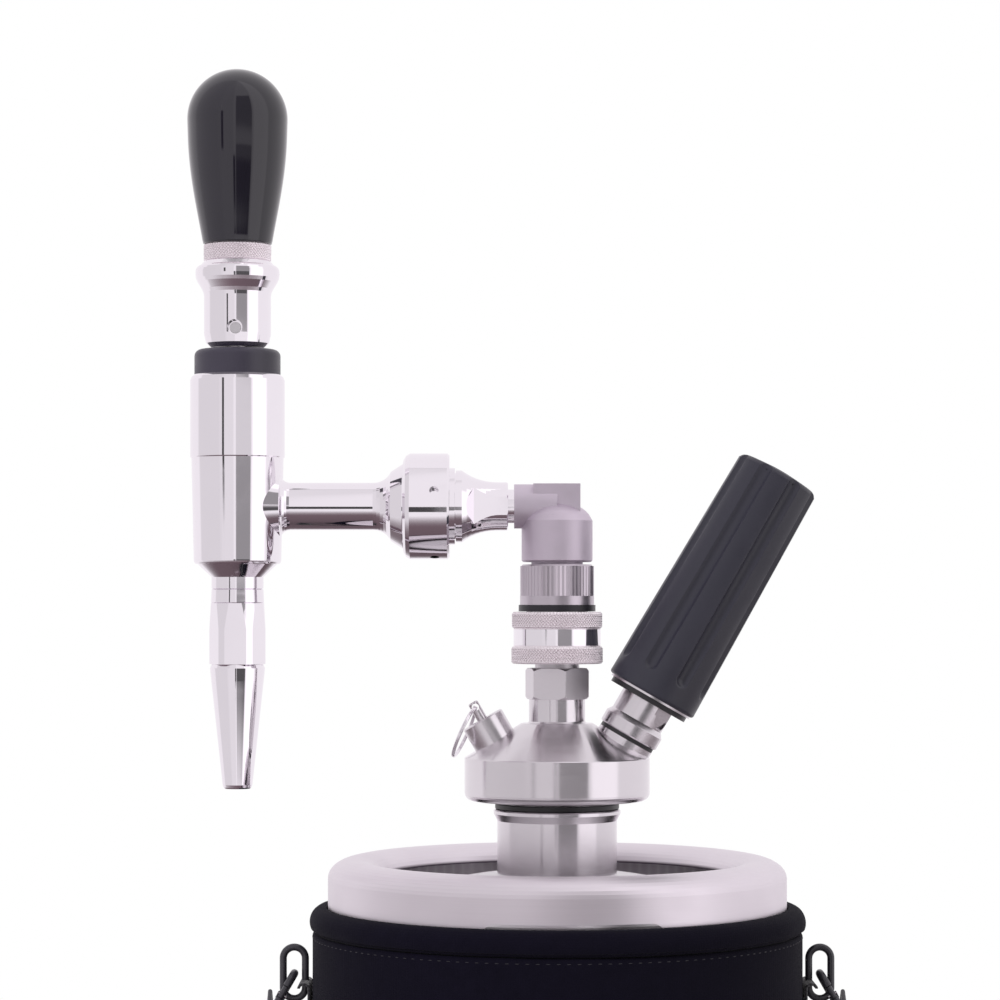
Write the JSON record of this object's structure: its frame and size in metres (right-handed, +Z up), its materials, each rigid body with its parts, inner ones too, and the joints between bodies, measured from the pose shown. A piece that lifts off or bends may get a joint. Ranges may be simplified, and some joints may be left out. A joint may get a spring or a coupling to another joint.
{
  "type": "beer keg",
  "caption": "Small steel keg in a fabric jacket, with screwed lid, relief valve, angled gas charger and a lever tap with a long nozzle on a swivelling quick disconnect.",
  "frame": {"origin": "keg axis at the underside of the jacket's floor", "axes": "+Z up along the keg axis, -X towards the tap's nozzle, -Y towards the viewer's side"},
  "size_m": [0.2612, 0.245, 0.5527],
  "materials": {
    "steel_brushed": "brushed stainless, fine turning lines",
    "steel_polished": "polished stainless",
    "steel_cast": "bead-blasted casting",
    "steel_plain": "machined",
    "neoprene": "knit-faced neoprene",
    "webbing": "woven webbing",
    "black_metal": "satin black",
    "knob_black": "gloss black",
    "bonnet_black": "satin black",
    "grip_rubber": "matt rubber",
    "seal_rubber": "black nitrile",
    "ring_black": "satin",
    "cartridge_steel": "zinc grey"
  },
  "bodies": {
    "keg": {"shell_upper": "steel_plain", "shell_lower": "steel_plain", "neck": "steel_brushed", "top_chime": "steel_brushed", "foot_ring": "steel_brushed", "jacket_wall": "neoprene", "jacket_hem": "neoprene", "jacket_base": "neoprene", "side_tabs": "webbing", "shoulder_strap": "webbing", "strap_slider": "black_metal", "shoulder_pad": "neoprene", "strap_rings": "black_metal"},
    "lid_seal": {"lid_gasket": "seal_rubber"},
    "spear": {"dip_tube": "steel_plain"},
    "lid": {"lid_body": "steel_brushed", "liquid_post": "steel_brushed", "post_seal": "seal_rubber", "post_poppet": "steel_plain", "post_spring": "steel_plain", "relief_body": "steel_brushed", "relief_spring": "steel_plain", "gas_inlet": "steel_brushed", "inlet_seal": "seal_rubber", "piercing_pin": "steel_plain"},
    "relief_valve": {"relief_stem": "steel_brushed", "relief_seal": "seal_rubber"},
    "pull_ring": {"pull_ring": "steel_polished"},
    "cartridge": {"gas_cartridge": "cartridge_steel"},
    "holder": {"holder_tube": "steel_brushed", "dust_ring": "seal_rubber", "holder_grip": "grip_rubber"},
    "tap": {"disconnect_body": "steel_plain", "locking_balls": "steel_polished", "disconnect_ring": "ring_black", "collar_spring": "steel_plain", "knurled_sleeve": "steel_brushed", "elbow": "steel_cast", "shank_adapter": "steel_polished", "tail_washer": "seal_rubber", "coupling_nut": "steel_polished", "faucet_body": "steel_polished", "body_sleeve": "steel_polished", "bonnet": "bonnet_black", "nozzle": "steel_polished", "restrictor_disc": "steel_plain", "flow_straightener": "bonnet_black"},
    "collar": {"release_collar": "steel_brushed"},
    "stem": {"valve_stem": "steel_plain", "plunger_seal": "seal_rubber", "pivot_pin": "steel_plain"},
    "handle": {"lever_collar": "steel_polished", "handle_ferrule": "steel_brushed", "tap_knob": "knob_black"},
    "ring_left": {"ring_left": "black_metal"},
    "ring_right": {"ring_right": "black_metal"},
    "hook_left": {"hook_left": "black_metal"},
    "hook_right": {"hook_right": "black_metal"},
    "gate_left": {"gate_left": "black_metal"},
    "gate_right": {"gate_right": "black_metal"}
  },
  "joints": [
    {"name": "lid_lift", "type": "slide", "parent": "keg", "child": "lid_seal", "axis": [0, 0, 1], "range_m": [0, 0.265]},
    {"name": "lid_rise", "type": "slide", "parent": "lid_seal", "child": "spear", "axis": [0, 0, 1], "range_m": [0, 0.0135]},
    {"name": "lid_turn", "type": "hinge", "parent": "spear", "child": "lid", "pos_m": [0, 0, 0.27], "axis": [0, 0, 1], "range_deg": [0, 1801]},
    {"name": "relief_pull", "type": "slide", "parent": "lid", "child": "relief_valve", "axis": [-0.5, 0, 0.866], "range_m": [0, 0.0026], "stiffness_N_per_m": 1500, "springref_m": -0.001, "deforming": ["relief_spring"]},
    {"name": "pull_ring_swing", "type": "hinge", "parent": "relief_valve", "child": "pull_ring", "pos_m": [-0.03177, 0, 0.30467], "axis": [0, 1, 0], "range_deg": [-8, 60]},
    {"name": "holder_rise", "type": "slide", "parent": "lid", "child": "cartridge", "axis": [0.5, 0, 0.866], "range_m": [0, 0.012]},
    {"name": "holder_turn", "type": "hinge", "parent": "cartridge", "child": "holder", "pos_m": [0.0276, 0, 0.2939], "axis": [0.5, 0, 0.866], "range_deg": [0, 2161]},
    {"name": "tap_swivel", "type": "hinge", "parent": "lid", "child": "tap", "pos_m": [0, 0, 0.33], "axis": [0, 0, 1], "range_deg": [-130, 130]},
    {"name": "collar_slide", "type": "slide", "parent": "tap", "child": "collar", "axis": [0, 0, 1], "range_m": [0, 0.0035], "stiffness_N_per_m": 800, "springref_m": -0.004, "deforming": ["collar_spring"]},
    {"name": "stem_lift", "type": "slide", "parent": "tap", "child": "stem", "axis": [0, 0, 1], "range_m": [0, 0.0045]},
    {"name": "handle_tilt", "type": "hinge", "parent": "stem", "child": "handle", "pos_m": [-0.1243, 0, 0.4515], "axis": [0, -1, 0], "range_deg": [0, 35]},
    {"name": "ring_left_swing", "type": "hinge", "parent": "keg", "child": "ring_left", "pos_m": [-0.0979, 0, 0.2014], "axis": [0, 0, 1], "range_deg": [-10, 10]},
    {"name": "hook_left_swivel", "type": "hinge", "parent": "keg", "child": "hook_left", "pos_m": [-0.1022, 0, 0.2012], "axis": [0.5, 0, 0.866], "range_deg": [-15, 15]},
    {"name": "gate_left_open", "type": "hinge", "parent": "hook_left", "child": "gate_left", "pos_m": [-0.1066, -0.005, 0.19358], "axis": [-0.866, 0, 0.5], "range_deg": [0, 20], "stiffness_Nm_per_rad": 0.02, "springref_deg": -11.46},
    {"name": "ring_right_swing", "type": "hinge", "parent": "keg", "child": "ring_right", "pos_m": [0.0979, 0, 0.2014], "axis": [0, 0, 1], "range_deg": [-10, 10]},
    {"name": "hook_right_swivel", "type": "hinge", "parent": "keg", "child": "hook_right", "pos_m": [0.1022, 0, 0.2012], "axis": [-0.5, 0, 0.866], "range_deg": [-15, 15]},
    {"name": "gate_right_open", "type": "hinge", "parent": "hook_right", "child": "gate_right", "pos_m": [0.1066, -0.005, 0.19358], "axis": [-0.866, 0, -0.5], "range_deg": [0, 20], "stiffness_Nm_per_rad": 0.02, "springref_deg": -11.46}
  ],
  "couplings": [
    {"joint": "lid_turn", "follows": "lid_rise", "rad_per_m": 2327.1},
    {"joint": "holder_turn", "follows": "holder_rise", "rad_per_m": 3141.6},
    {"joint": "stem_lift", "follows": "handle_tilt", "m_per_rad": 0.0072}
  ]
}
